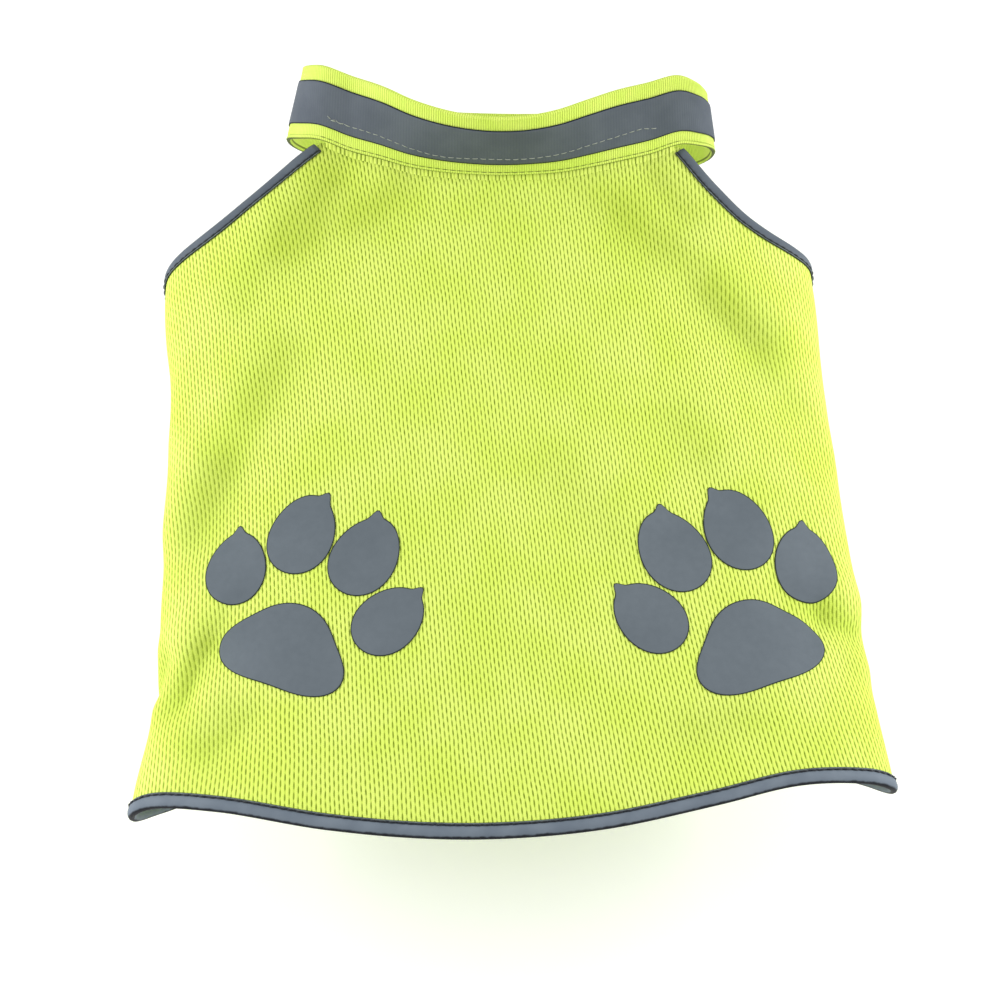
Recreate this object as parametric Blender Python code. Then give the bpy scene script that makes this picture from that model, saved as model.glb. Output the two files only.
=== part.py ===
"""Dog safety vest: mesh body, webbing neck band, folded reflective bindings and two reflective paws.

The vest keeps its worn, hollow form. +Y points to the head, +X to the right side and +Z up. The
origin is on the inner face of the back, on the middle line, half way along. A place on the body is
(station, girth): the station runs along Y, and the girth is the distance round the section from the
back's middle line, positive to the right. Sizes in the tables are millimetres.
"""

import math

import bpy
import numpy as np

# ---------------------------------------------------------------- driving sizes, millimetres
PANEL_WALL = 1.0
BAND_WIDTH = 25.0
BAND_WALL = 1.5
STRIPE_FROM = 5.2
STRIPE_TO = 20.0
TAPE_WALL = 1.0
BINDING_WIDTH = 3.4
GAP = 0.3
BELLY_LAP = 40.0
BELLY_RAMP = 46.0
NECK_LAP = 40.0
NECK_RAMP = 30.0
NECK_HALF = 61.0
PAW_WALL = 0.8
BACK_SQUARENESS = 2.6
BELLY_SQUARENESS = 2.3

# One row for each section of the body: half widths, height of the back above the widest level,
# depth of the belly below it, and height of the back's middle line.
SECTION_COLUMNS = ("station", "left", "right", "rise", "drop", "ridge")
SECTIONS = (
    (-125.0, 110.5, 120.0, 25.0, 52.0, 3.0),
    (-98.0, 109.5, 118.5, 24.0, 54.0, 2.0),
    (-66.0, 105.0, 114.5, 22.0, 57.0, 0.5),
    (-33.0, 106.0, 112.0, 21.0, 60.0, 0.0),
    (2.0, 107.0, 109.5, 21.0, 62.0, 0.0),
    (39.0, 109.5, 107.5, 22.0, 62.0, 1.0),
    (79.0, 114.0, 107.0, 25.0, 60.0, 3.0),
    (110.0, 113.0, 105.0, 31.0, 56.0, 5.0),
    (145.0, 106.0, 100.0, 38.0, 52.0, 8.0),
)

# The front edge: the neckline between the two corners, then the shoulders, flanks and belly.
EDGE_COLUMNS = ("girth", "station")
NECKLINE = (
    (-61.0, 126.0),
    (-52.0, 121.5),
    (-34.0, 114.8),
    (-9.0, 111.0),
    (10.0, 111.0),
    (32.0, 114.0),
    (52.0, 120.5),
    (61.0, 124.5),
)
LEFT_FRONT = (
    (-300.0, 56.0),
    (-240.0, 56.0),
    (-200.0, 59.0),
    (-160.0, 68.0),
    (-138.0, 78.5),
    (-124.0, 84.0),
    (-111.0, 89.0),
    (-95.0, 98.0),
    (-78.0, 110.8),
    (-61.0, 126.0),
)
RIGHT_FRONT = (
    (61.0, 124.5),
    (74.0, 108.0),
    (90.0, 95.5),
    (102.0, 91.0),
    (114.0, 89.0),
    (130.0, 83.0),
    (155.0, 71.5),
    (200.0, 59.0),
    (240.0, 56.0),
    (300.0, 56.0),
)
HEM = (
    (-300.0, -60.0),
    (-240.0, -60.0),
    (-195.0, -66.0),
    (-160.0, -81.0),
    (-138.0, -94.5),
    (-120.0, -102.0),
    (-102.0, -102.0),
    (-83.0, -104.5),
    (-49.0, -111.0),
    (-6.0, -114.0),
    (30.0, -111.0),
    (64.0, -103.0),
    (86.0, -97.0),
    (110.0, -94.5),
    (126.0, -94.0),
    (146.0, -85.0),
    (170.0, -72.0),
    (200.0, -64.0),
    (240.0, -60.0),
    (300.0, -60.0),
)

# The largest folds: soft troughs across the panel between two places on the body.
FOLD_COLUMNS = ("from_girth", "from_station", "to_girth", "to_station", "depth", "width")
FOLDS = (
    (-97.0, -22.0, -83.0, 12.0, 1.7, 9.0),
    (-78.0, 20.0, -62.0, 52.0, 0.9, 10.0),
    (-70.0, 84.0, -50.0, 116.0, 1.4, 10.0),
    (-76.0, 80.0, -27.0, 102.0, 0.7, 9.0),
    (45.0, 116.0, 66.0, 92.0, 1.3, 9.0),
    (23.0, 106.0, 55.0, 77.0, 1.0, 10.0),
    (61.0, 71.0, 88.0, 45.0, 2.1, 9.0),
    (-101.0, -76.0, -84.0, -47.0, 1.6, 6.5),
    (-111.0, -66.0, -103.0, -52.0, 1.2, 6.0),
    (-88.0, -92.0, -74.0, -74.0, 1.2, 9.0),
    (96.0, -42.0, 116.0, -49.0, 1.7, 8.0),
    (52.0, -89.0, 80.0, -80.0, 0.8, 9.0),
    (49.0, 25.0, 62.0, 2.0, 0.8, 10.0),
    (8.0, 5.0, 37.0, -30.0, 0.6, 11.0),
    (-150.0, 20.0, -168.0, -30.0, 1.8, 10.0),
    (148.0, 34.0, 172.0, -12.0, 1.9, 10.0),
    (-200.0, -10.0, -188.0, -46.0, 1.4, 10.0),
    (184.0, -26.0, 198.0, -50.0, 1.5, 10.0),
)

# Lower edge of the free part of the neck band, and the way the webbing leans from level there.
NECK_COLUMNS = ("across", "forward", "height", "lean", "inward")
NECK_LEFT = (
    (-69.3, 130.4, 0.5, 44.0, 0.17),
    (-74.8, 138.0, -10.5, 39.0, 0.27),
    (-74.2, 144.5, -24.0, 34.0, 0.28),
    (-64.5, 149.0, -37.5, 34.0, 0.16),
    (-37.0, 150.5, -49.0, 38.0, 0.04),
)
NECK_THROAT = (0.0, 150.5, -53.0, 40.0, 0.0)
NECK_RIGHT = (
    (37.0, 149.0, -49.5, 42.0, -0.04),
    (64.5, 144.5, -38.5, 50.0, -0.13),
    (74.8, 139.2, -24.5, 63.0, -0.20),
    (75.0, 133.2, -10.5, 74.0, -0.20),
    (69.0, 127.4, 0.5, 68.0, -0.14),
)
NECK_LEAN = (
    (-61.0, 48.0),
    (-50.0, 48.0),
    (-40.0, 56.0),
    (-30.0, 66.0),
    (-17.0, 74.5),
    (0.0, 78.5),
    (11.0, 77.5),
    (20.0, 73.0),
    (31.0, 65.0),
    (42.0, 58.0),
    (50.0, 57.5),
    (61.0, 62.0),
)

# Paws: place of the middle, tilt in degrees and overall size; then each pad in shares of that size.
PAW_COLUMNS = ("name", "girth", "station", "tilt", "size")
PAWS = (
    ("left", -58.5, -40.0, 22.0, 65.0),
    ("right", 71.0, -38.5, -22.0, 67.0),
)
TOE_COLUMNS = ("name", "across", "along", "half_width", "half_length", "turn", "claw")
TOES = (
    ("toe_1", -0.40, 0.03, 0.150, 0.190, 22.0, 0.0),
    ("toe_2", -0.165, 0.29, 0.160, 0.210, 4.0, 18.0),
    ("toe_3", 0.165, 0.29, 0.160, 0.210, -4.0, -18.0),
    ("toe_4", 0.40, 0.03, 0.150, 0.190, -22.0, 0.0),
)
PAD_DOWN = 0.27
PAD_HALF_WIDTH = 0.30
PAD_HALF_LENGTH = 0.215

COLOURS = {
    "mesh": (0.80, 1.0, 0.16, 0.75),
    "webbing": (0.62, 0.86, 0.09, 0.80),
    "reflective": (0.165, 0.195, 0.235, 0.42),
    "binding": (0.19, 0.22, 0.25, 0.45),
    "fastening": (0.55, 0.72, 0.10, 0.90),
}

# Spacing of the panel's lines at distances from the middle: closer where the sides turn.
COLUMN_STEPS = ((0.0, 8.5), (55.0, 6.5), (88.0, 4.6), (130.0, 4.6), (160.0, 7.5), (280.0, 8.5))
PANEL_ROWS = 20
BAND_STATIONS = 66
PAD_POINTS = 20


# ---------------------------------------------------------------- tables and curves
def column(rows, names, name):
    return np.array([row[names.index(name)] for row in rows], float)


def through(at, places, values):
    """A smooth curve through a table's points, its slopes taken from their neighbours."""
    places = np.asarray(places, float)
    values = np.asarray(values, float)
    slopes = np.gradient(values, places)
    at = np.clip(at, places[0], places[-1])
    k = np.clip(np.searchsorted(places, at) - 1, 0, len(places) - 2)
    step = places[k + 1] - places[k]
    f = (at - places[k]) / step
    start = (1 + 2 * f) * (1 - f) ** 2 * values[k] + f * (1 - f) ** 2 * step * slopes[k]
    end = f * f * (3 - 2 * f) * values[k + 1] + f * f * (f - 1) * step * slopes[k + 1]
    return start + end


def ease(share):
    share = np.clip(share, 0.0, 1.0)
    return share * share * (3 - 2 * share)


def sizes_at(station):
    stations = column(SECTIONS, SECTION_COLUMNS, "station")
    return [
        through(station, stations, column(SECTIONS, SECTION_COLUMNS, name))
        for name in SECTION_COLUMNS[1:]
    ]


# ---------------------------------------------------------------- the body's surface
RING_SAMPLES = 401
STATION_STEP = 2.5
LATTICE_STATIONS = np.arange(-125.0, 145.1, STATION_STEP)


def ring_at(station):
    """Half a section each side, as points at equal steps from the back's middle to the belly's."""
    left, right, rise, drop, ridge = sizes_at(station)
    turn = np.linspace(0.0, math.pi, 1441)
    up = np.cos(turn)
    square = np.where(up > 0, BACK_SQUARENESS, BELLY_SQUARENESS)
    across = np.abs(np.sin(turn)) ** (2 / square)
    height = np.sign(up) * np.abs(up) ** (2 / square) * np.where(up > 0, rise, drop)
    halves = []
    for half, side in ((left, -1.0), (right, 1.0)):
        x = side * half * across
        z = ridge - rise + height
        run = np.concatenate([[0.0], np.cumsum(np.hypot(np.diff(x), np.diff(z)))])
        even = np.linspace(0.0, run[-1], RING_SAMPLES)
        halves.append((run[-1], np.interp(even, run, x), np.interp(even, run, z)))
    return halves


def lattice():
    lengths = np.zeros((len(LATTICE_STATIONS), 2))
    points = np.zeros((len(LATTICE_STATIONS), 2 * RING_SAMPLES - 1, 2))
    for i, station in enumerate(LATTICE_STATIONS):
        left, right = ring_at(station)
        lengths[i] = left[0], right[0]
        points[i, :, 0] = np.concatenate([left[1][::-1], right[1][1:]])
        points[i, :, 1] = np.concatenate([left[2][::-1], right[2][1:]])
    return lengths, points


LENGTHS, RINGS = lattice()


def half_girth(station, side):
    """Distance round the section from the back's middle to the belly's, left or right."""
    left = np.interp(station, LATTICE_STATIONS, LENGTHS[:, 0])
    right = np.interp(station, LATTICE_STATIONS, LENGTHS[:, 1])
    return np.where(np.asarray(side) < 0, left, right)


def share_of(station, girth):
    return girth / half_girth(station, girth)


def shell(station, share):
    """A point of the smooth body: share is -1 to 1 from the belly's middle round to it again."""
    station, share = np.broadcast_arrays(np.asarray(station, float), np.asarray(share, float))
    share = (share + 1.0) % 2.0 - 1.0
    row = np.clip((station - LATTICE_STATIONS[0]) / STATION_STEP, 0, len(LATTICE_STATIONS) - 1.001)
    place = (share + 1.0) * (RING_SAMPLES - 1)
    place = np.clip(place, 0, 2 * RING_SAMPLES - 2.001)
    i = row.astype(int)
    j = place.astype(int)
    f = (row - i)[..., None]
    g = (place - j)[..., None]
    near = RINGS[i, j] * (1 - g) + RINGS[i, j + 1] * g
    far = RINGS[i + 1, j] * (1 - g) + RINGS[i + 1, j + 1] * g
    flat = near * (1 - f) + far * f
    return np.stack([flat[..., 0], station, flat[..., 1]], axis=-1)


def shell_normal(station, share):
    along = shell(station + 1.5, share) - shell(station - 1.5, share)
    around = shell(station, share + 0.012) - shell(station, share - 0.012)
    normal = np.cross(around, along)
    return normal / np.linalg.norm(normal, axis=-1, keepdims=True)


def fold_height(station, girth):
    """How far the folds push the cloth in or out at a place on the body."""
    height = np.zeros(np.broadcast(station, girth).shape)
    for row in FOLDS:
        fold = dict(zip(FOLD_COLUMNS, row))
        start = np.array([fold["from_girth"], fold["from_station"]])
        run = np.array([fold["to_girth"], fold["to_station"]]) - start
        length = np.hypot(*run)
        run = run / length
        dx = girth - start[0]
        dy = station - start[1]
        along = (dx * run[0] + dy * run[1]) / length
        aside = dx * -run[1] + dy * run[0]
        ends = ease((along + 0.25) / 0.5) * ease((1.25 - along) / 0.5)
        trough = np.exp(-((aside / fold["width"]) ** 2))
        lip = np.exp(-(((aside - 1.6 * fold["width"]) / fold["width"]) ** 2))
        height = height + fold["depth"] * ends * (0.55 * lip - trough)
    return height


def lap_lift(station, share):
    """The left belly end lies outside the right one, with the fastening between them."""
    lift = PANEL_WALL + 3 * GAP + 2 * TAPE_WALL
    girth = np.abs(share) * half_girth(station, share)
    whole = half_girth(station, share) - BELLY_LAP / 2 - 3.0
    return np.where(share < 0, lift * ease((girth - whole + BELLY_RAMP) / BELLY_RAMP), 0.0)


def body_point(station, share):
    girth = share * half_girth(station, share)
    normal = shell_normal(station, share)
    height = fold_height(station, girth) + lap_lift(station, share) + PANEL_WALL / 2
    return shell(station, share) + normal * height[..., None]


# ---------------------------------------------------------------- the panel's cut
def along_edge(girth, rows):
    return through(girth, column(rows, EDGE_COLUMNS, "girth"), column(rows, EDGE_COLUMNS, "station"))


def front_station(girth):
    neck = along_edge(girth, NECKLINE)
    left = along_edge(girth, LEFT_FRONT)
    right = along_edge(girth, RIGHT_FRONT)
    return np.where(girth < -NECK_HALF, left, np.where(girth > NECK_HALF, right, neck))


def hem_station(girth):
    return along_edge(girth, HEM)


def edge_at(share, edge):
    """Station of an edge on one line of constant share, found from its girth there."""
    station = np.zeros_like(share)
    for _ in range(12):
        station = 0.5 * station + 0.5 * edge(share * half_girth(station, share))
    return station


def neck_share(side):
    share = side * 0.27
    for _ in range(20):
        station = edge_at(np.array([share]), front_station)[0]
        share = side * NECK_HALF / float(half_girth(station, side))
    return share


def panel_columns():
    """Lines of the panel from its left end to its right one, two of them at the neck's corners."""
    belly = float(half_girth(0.0, 1.0))
    end = 1.0 + BELLY_LAP / 2 / belly
    left = neck_share(-1.0)
    right = neck_share(1.0)
    stretches = ((-end, left), (left, right), (right, end))
    shares = [np.array([-end])]
    for start, stop in stretches:
        fine = np.linspace(start, stop, 801)
        steps = through(np.abs(fine * belly), *zip(*COLUMN_STEPS))
        crowd = np.concatenate([[0.0], np.cumsum(np.diff(fine) * belly / (0.5 * (steps[1:] + steps[:-1])))])
        count = int(round(crowd[-1]))
        shares.append(np.interp(np.linspace(0, crowd[-1], count + 1)[1:], crowd, fine))
    return np.concatenate(shares), left, right


SHARES, NECK_LEFT_SHARE, NECK_RIGHT_SHARE = panel_columns()
FRONT = edge_at(SHARES, front_station)
HEM_LINE = edge_at(SHARES, hem_station)
ROWS = np.linspace(0.0, 1.0, PANEL_ROWS)
GRID_STATIONS = HEM_LINE[None, :] + ROWS[:, None] * (FRONT - HEM_LINE)[None, :]
GRID_SHARES = np.broadcast_to(SHARES, GRID_STATIONS.shape)
GRID = body_point(GRID_STATIONS, GRID_SHARES)


def grid_normals():
    along = np.gradient(GRID, axis=0)
    around = np.gradient(GRID, axis=1)
    normal = np.cross(around, along)
    return normal / np.linalg.norm(normal, axis=-1, keepdims=True)


GRID_NORMALS = grid_normals()


def on_panel(station, share, lift):
    """A point over the panel's own facets, moved out by lift."""
    station, share = np.broadcast_arrays(np.asarray(station, float), np.asarray(share, float))
    col = np.clip(np.interp(share, SHARES, np.arange(len(SHARES))), 0, len(SHARES) - 1.001)
    j = col.astype(int)
    g = col - j
    hem = HEM_LINE[j] * (1 - g) + HEM_LINE[j + 1] * g
    front = FRONT[j] * (1 - g) + FRONT[j + 1] * g
    row = np.clip((station - hem) / (front - hem), 0.0, 1.0) * (PANEL_ROWS - 1)
    row = np.clip(row, 0, PANEL_ROWS - 1.001)
    i = row.astype(int)
    f = (row - i)[..., None]
    g = g[..., None]
    found = []
    for values in (GRID, GRID_NORMALS):
        near = values[i, j] * (1 - g) + values[i, j + 1] * g
        far = values[i + 1, j] * (1 - g) + values[i + 1, j + 1] * g
        found.append(near * (1 - f) + far * f)
    return found[0] + found[1] * np.asarray(lift)[..., None]


# ---------------------------------------------------------------- building meshes
def material(name):
    red, green, blue, rough = COLOURS[name]
    made = bpy.data.materials.new(name)
    made.use_nodes = True
    shader = made.node_tree.nodes["Principled BSDF"]
    shader.inputs["Base Color"].default_value = (red, green, blue, 1.0)
    shader.inputs["Roughness"].default_value = rough
    shader.inputs["Metallic"].default_value = 0.25 if name in ("reflective", "binding") else 0.0
    made.diffuse_color = (red, green, blue, 1.0)
    return made


def add_sheet(name, points, faces, wall, look, root):
    """One piece of cloth: a surface, thickened evenly to both sides."""
    mesh = bpy.data.meshes.new(name)
    mesh.from_pydata((np.asarray(points) * 0.001).tolist(), [], faces)
    mesh.update()
    mesh.shade_smooth()
    mesh.materials.append(look)
    made = bpy.data.objects.new(name, mesh)
    bpy.context.scene.collection.objects.link(made)
    made.parent = root
    thick = made.modifiers.new("thickness", "SOLIDIFY")
    thick.thickness = wall * 0.001
    thick.offset = 0.0
    thick.use_even_offset = False
    return made


def add_grid(name, grid, wall, look, root):
    rows, columns = grid.shape[:2]
    faces = []
    for i in range(rows - 1):
        for j in range(columns - 1):
            corner = i * columns + j
            faces.append((corner, corner + 1, corner + columns + 1, corner + columns))
    return add_sheet(name, grid.reshape(-1, 3), faces, wall, look, root)


# ---------------------------------------------------------------- pieces on the body
BINDING_PROFILE = (
    (BINDING_WIDTH, 1.0),
    (0.0, 1.0),
    (-1.05, 0.45),
    (-1.05, -0.45),
    (0.0, -1.0),
    (BINDING_WIDTH, -1.0),
)


def binding_grid(shares, edge, inward_sign):
    """Folded tape: a strip that runs along an edge and turns round it, half on each face."""
    station = edge_at(shares, edge)
    girth = shares * half_girth(station, shares)
    along = np.stack([np.gradient(girth), np.gradient(station)], axis=-1)
    along = along / np.linalg.norm(along, axis=-1, keepdims=True)
    inward = np.stack([-along[:, 1], along[:, 0]], axis=-1) * inward_sign
    turn = PANEL_WALL / 2 + GAP + TAPE_WALL / 2 + 0.15
    rows = []
    for depth, side in BINDING_PROFILE:
        inside = max(depth, 0.0)
        at_station = station + inward[:, 1] * inside
        at_girth = girth + inward[:, 0] * inside
        at_share = at_girth / half_girth(at_station, at_girth)
        lift = np.full(len(shares), side * turn)
        point = on_panel(at_station, at_share, lift)
        if depth < 0:
            more = girth + inward[:, 0] * 2.0
            next_share = more / half_girth(station, more)
            ahead = on_panel(station + inward[:, 1] * 2.0, next_share, lift)
            way = point - ahead
            point = point - way / np.linalg.norm(way, axis=-1, keepdims=True) * depth
        rows.append(point)
    return np.array(rows)


def belly_tape_grid(lift, inner_side):
    """A patch of fastening tape between the lapped ends, made from the panel's own points."""
    half = BELLY_LAP / 2 - 5.0
    belly = float(half_girth(0.0, inner_side))
    offsets = np.linspace(-half, half, 5) / belly
    shares = inner_side * (1.0 + offsets * inner_side) if inner_side > 0 else -1.0 + offsets
    stations = np.linspace(-60.0 + 6.0, 56.0 - 6.0, 8)
    spread_stations, spread_shares = np.meshgrid(stations, shares, indexing="ij")
    return on_panel(spread_stations, spread_shares, np.full(spread_shares.shape, lift))


def pad_outline(kind, toe, turns):
    """Outline of one pad in shares of the paw's size, as a closed curve round its middle."""
    x = np.sin(turns)
    y = np.cos(turns)
    if kind == "pad":
        lobes = 1.0 + 0.11 * np.cos(3 * turns) - 0.03 * np.cos(2 * turns)
        width = PAD_HALF_WIDTH * (1.0 - 0.06 * y)
        return x * lobes * width, y * lobes * PAD_HALF_LENGTH - PAD_DOWN
    narrow = toe["half_width"] * (1.0 - 0.10 * y)
    tip = 1.0 + 0.20 * np.exp(-(((turns - math.radians(toe["claw"])) / 0.16) ** 2))
    local_x = x * narrow * tip
    local_y = y * toe["half_length"] * tip
    turn = math.radians(toe["turn"])
    rolled_x = local_x * math.cos(turn) - local_y * math.sin(turn)
    rolled_y = local_x * math.sin(turn) + local_y * math.cos(turn)
    return rolled_x + toe["across"], rolled_y + toe["along"]


def add_pad(name, kind, toe, paw, look, root):
    """One film pad: rings of points from its middle to its outline, laid over the panel."""
    fine = np.linspace(-math.pi, math.pi, PAD_POINTS + 1)[:-1]
    x, y = pad_outline(kind, toe, fine)
    middle_x, middle_y = x.mean(), y.mean()
    tilt = math.radians(paw["tilt"])
    lift = PANEL_WALL / 2 + GAP + PAW_WALL / 2 + 0.1
    spreads = (0.0, 0.35, 0.7, 1.0) if kind == "pad" else (0.0, 0.5, 1.0)
    points = []
    for spread in spreads:
        ring_x = middle_x + (x - middle_x) * spread
        ring_y = middle_y + (y - middle_y) * spread
        across = (ring_x * math.cos(tilt) + ring_y * math.sin(tilt)) * paw["size"]
        along = (ring_y * math.cos(tilt) - ring_x * math.sin(tilt)) * paw["size"]
        station = paw["station"] + along
        share = share_of(station, paw["girth"] + across)
        placed = on_panel(station, share, np.full(len(share), lift))
        points.extend(placed[:1] if spread == 0.0 else placed)
    count = len(fine)
    faces = []
    for k in range(count):
        follow = (k + 1) % count
        faces.append((0, 1 + follow, 1 + k))
        for ring in range(len(spreads) - 2):
            inner = 1 + ring * count
            faces.append((inner + k, inner + follow, inner + count + follow, inner + count + k))
    return add_sheet(name, points, faces, PAW_WALL, look, root)


# ---------------------------------------------------------------- the neck band
def neck_frames():
    """Lower edge of the band and its width direction, from the throat's middle round to it again."""
    rows = []
    throat = dict(zip(NECK_COLUMNS, NECK_THROAT))
    left = [dict(zip(NECK_COLUMNS, row)) for row in NECK_LEFT]
    right = [dict(zip(NECK_COLUMNS, row)) for row in NECK_RIGHT]
    for place in [throat] + left[::-1]:
        rows.append(free_frame(place))
    leans = np.array(NECK_LEAN)
    for girth in np.linspace(-NECK_HALF, NECK_HALF, 13):
        share = girth / float(half_girth(120.0, girth))
        station = float(edge_at(np.array([share]), front_station)[0])
        share = girth / float(half_girth(station, girth))
        lift = PANEL_WALL / 2 + GAP + BAND_WALL / 2 + 0.4
        foot = on_panel(np.array([station]), np.array([share]), np.array([lift]))[0]
        lean = math.radians(float(through(girth, leans[:, 0], leans[:, 1])))
        inward = -0.10 * girth / NECK_HALF
        rows.append((foot, unit(np.array([inward, math.cos(lean), math.sin(lean)]))))
    for place in right[::-1] + [throat]:
        rows.append(free_frame(place))
    feet = np.array([row[0] for row in rows])
    ways = np.array([row[1] for row in rows])
    return feet, ways


def free_frame(place):
    lean = math.radians(place["lean"])
    foot = np.array([place["across"], place["forward"], place["height"]])
    return foot, unit(np.array([place["inward"], math.cos(lean), math.sin(lean)]))


def unit(vector):
    return vector / np.linalg.norm(vector, axis=-1, keepdims=True)


def closed_curve(values, run, at):
    """A smooth closed curve through values, by distance round it."""
    total = run[-1]
    wide_run = np.concatenate([run[-4:-1] - total, run, run[1:4] + total])
    wide = np.concatenate([values[-4:-1], values, values[1:4]])
    return np.stack([through(at, wide_run, wide[:, k]) for k in range(3)], axis=-1)


NECK_FEET, NECK_WAYS = neck_frames()
NECK_RUN = np.concatenate([[0.0], np.cumsum(np.linalg.norm(np.diff(NECK_FEET, axis=0), axis=1))])
NECK_ROUND = NECK_RUN[-1]


def band_point(run, width, lift):
    """A point of the band: run from the throat's middle, width up from the lower edge, lift out."""
    wrapped = np.asarray(run, float) % NECK_ROUND
    foot = closed_curve(NECK_FEET, NECK_RUN, wrapped)
    way = unit(closed_curve(NECK_WAYS, NECK_RUN, wrapped))
    before = closed_curve(NECK_FEET, NECK_RUN, (wrapped - 1.0) % NECK_ROUND)
    after = closed_curve(NECK_FEET, NECK_RUN, (wrapped + 1.0) % NECK_ROUND)
    out = unit(np.cross(after - before, way))
    ramp_end = NECK_LAP / 2 + 3.0
    outer = np.clip((ramp_end + NECK_RAMP - np.asarray(run, float)) / NECK_RAMP, 0.0, 1.0)
    full = BAND_WALL + 3 * GAP + 2 * TAPE_WALL
    reach = (lift + full * ease(outer))[..., None]
    return foot + way * np.asarray(width)[..., None] + out * reach


def band_grid(runs, low, high, lift, rows):
    widths = np.linspace(low, high, rows)
    spread_widths, spread_runs = np.meshgrid(widths, runs, indexing="ij")
    return band_point(spread_runs, spread_widths, np.full(spread_runs.shape, lift))


# ---------------------------------------------------------------- assembly
def clear_scene():
    for old in list(bpy.data.objects):
        bpy.data.objects.remove(old, do_unlink=True)


def build():
    clear_scene()
    root = bpy.data.objects.new("dog_safety_vest", None)
    root.empty_display_size = 0.05
    bpy.context.scene.collection.objects.link(root)
    looks = {name: material(name) for name in COLOURS}

    add_grid("body_panel", GRID, PANEL_WALL, looks["mesh"], root)

    belly = float(half_girth(0.0, 1.0))
    stop = 1.0 - (BELLY_LAP / 2 + 3.0) / belly
    left = np.append(SHARES[SHARES <= NECK_LEFT_SHARE - 0.012], NECK_LEFT_SHARE - 0.006)
    right = SHARES[(SHARES >= NECK_RIGHT_SHARE + 0.012) & (SHARES <= stop)]
    right = np.insert(right, 0, NECK_RIGHT_SHARE + 0.006)
    whole = SHARES[SHARES <= stop]
    add_grid("front_binding_left", binding_grid(left, front_station, -1), TAPE_WALL, looks["binding"], root)
    add_grid("front_binding_right", binding_grid(right, front_station, -1), TAPE_WALL, looks["binding"], root)
    add_grid("hem_binding", binding_grid(whole, hem_station, 1), TAPE_WALL, looks["binding"], root)

    step = PANEL_WALL / 2 + GAP + TAPE_WALL / 2
    add_grid("belly_loop_tape", belly_tape_grid(step, 1.0), TAPE_WALL, looks["fastening"], root)
    add_grid("belly_hook_tape", belly_tape_grid(-step, -1.0), TAPE_WALL, looks["fastening"], root)

    runs = np.linspace(-NECK_LAP / 2, NECK_ROUND + NECK_LAP / 2, BAND_STATIONS)
    add_grid(
        "neck_band",
        band_grid(runs, 0.0, BAND_WIDTH, 0.0, 4),
        BAND_WALL,
        looks["webbing"],
        root,
    )
    over = BAND_WALL / 2 + GAP + TAPE_WALL / 2
    bare = NECK_ROUND - NECK_LAP / 2 - 4.0
    stripe = band_grid(runs[runs < bare], STRIPE_FROM, STRIPE_TO, over, 3)
    add_grid("neck_stripe", stripe, TAPE_WALL, looks["reflective"], root)
    inner = NECK_LAP / 2 - 3.0
    spots = np.linspace(-inner, inner, 7)
    loop = band_grid(NECK_ROUND + spots, 2.0, BAND_WIDTH - 2.0, over, 3)
    hook = band_grid(spots, 2.0, BAND_WIDTH - 2.0, -over, 3)
    add_grid("neck_loop_tape", loop, TAPE_WALL, looks["fastening"], root)
    add_grid("neck_hook_tape", hook, TAPE_WALL, looks["fastening"], root)

    for row in PAWS:
        paw = dict(zip(PAW_COLUMNS, row))
        stem = "paw_" + paw["name"]
        add_pad(stem + "_pad", "pad", None, paw, looks["reflective"], root)
        for toe_row in TOES:
            toe = dict(zip(TOE_COLUMNS, toe_row))
            add_pad(stem + "_" + toe["name"], "toe", toe, paw, looks["reflective"], root)


build()
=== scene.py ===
"""Looks of the dog safety vest: every piece of cloth is made again, finer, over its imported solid.

+Y points to the head, +X to the right side and +Z up. A place on the body is (station, girth): the
station runs along Y, and the girth is the distance round the section from the back's middle line,
positive to the right. A place on the neck band is (run, width): the run starts at the throat's middle
and goes round over the left corner, and the width goes up from the lower edge. Sizes are millimetres.
"""

import math

import bpy
import numpy as np
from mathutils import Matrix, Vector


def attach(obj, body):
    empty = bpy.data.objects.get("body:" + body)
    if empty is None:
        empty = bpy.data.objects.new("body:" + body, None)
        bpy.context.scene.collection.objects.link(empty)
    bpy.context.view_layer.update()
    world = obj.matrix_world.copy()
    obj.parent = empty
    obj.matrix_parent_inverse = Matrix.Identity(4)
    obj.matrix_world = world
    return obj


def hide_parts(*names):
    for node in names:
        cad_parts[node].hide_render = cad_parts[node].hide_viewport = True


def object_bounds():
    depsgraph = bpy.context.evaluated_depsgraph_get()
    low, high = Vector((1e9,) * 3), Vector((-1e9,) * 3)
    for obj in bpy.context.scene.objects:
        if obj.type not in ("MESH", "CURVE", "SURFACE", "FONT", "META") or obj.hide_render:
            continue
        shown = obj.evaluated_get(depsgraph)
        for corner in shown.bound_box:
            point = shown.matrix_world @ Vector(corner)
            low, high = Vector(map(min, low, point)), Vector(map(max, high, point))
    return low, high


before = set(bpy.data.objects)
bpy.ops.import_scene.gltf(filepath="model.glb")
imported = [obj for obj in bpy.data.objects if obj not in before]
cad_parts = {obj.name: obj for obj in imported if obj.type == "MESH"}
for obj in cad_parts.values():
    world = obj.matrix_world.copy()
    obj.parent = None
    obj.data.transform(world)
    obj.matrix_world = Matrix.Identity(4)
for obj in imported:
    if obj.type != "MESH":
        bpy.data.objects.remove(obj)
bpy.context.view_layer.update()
MM = 0.001

# ---------------- camera, fitted to the photograph
CAMERA_ELEVATION = 65.0
CAMERA_DISTANCE = 540.0
CAMERA_TARGET = (0.0, -7.3, 0.0)
FOCAL_SHARE = 1.728

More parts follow.
